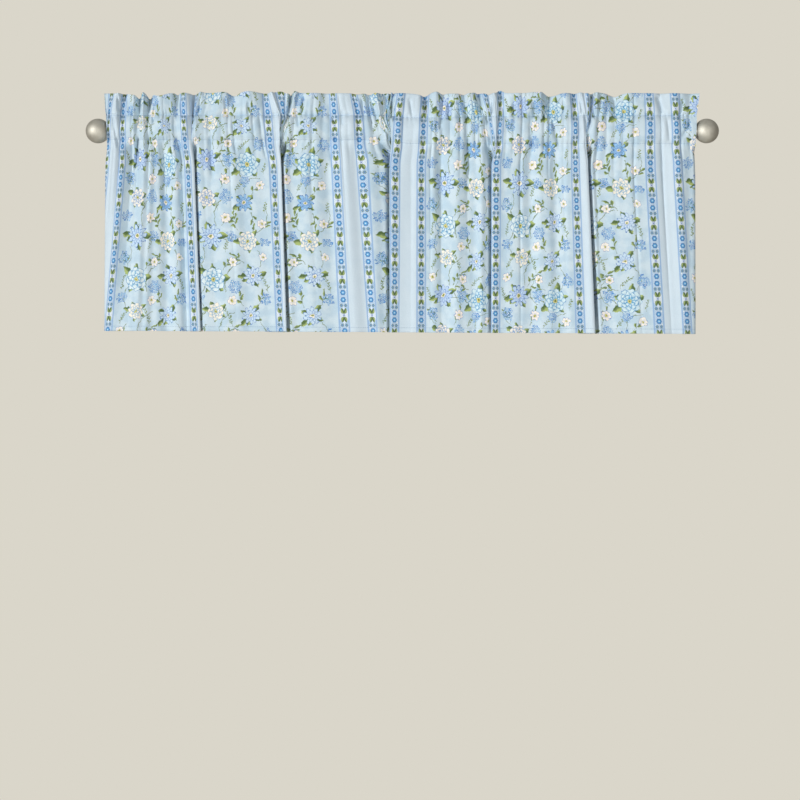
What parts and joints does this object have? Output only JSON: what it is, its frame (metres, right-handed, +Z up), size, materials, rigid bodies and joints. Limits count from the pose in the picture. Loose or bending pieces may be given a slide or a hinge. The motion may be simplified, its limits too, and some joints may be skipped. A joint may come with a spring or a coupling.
{
  "type": "rod-pocket window valance on a curtain rod",
  "caption": "Short gathered window valance of printed cotton with a ruffled header and a sewn rod pocket, hanging on a straight curtain rod with ball finials.",
  "frame": {"origin": "middle of the curtain rod's axis", "axes": "+X along the rod to the viewer's right, +Z up, -Y towards the room"},
  "size_m": [1.03, 0.04, 0.3953],
  "materials": {
    "printed_cotton": "matt printed plain weave",
    "rod_nickel": "brushed",
    "finial_nickel": "satin"
  },
  "bodies": {
    "root": {"valance_left_width": "printed_cotton", "valance_right_width": "printed_cotton", "rod_tube": "rod_nickel", "finial_left": "finial_nickel", "finial_right": "finial_nickel"}
  },
  "joints": []
}
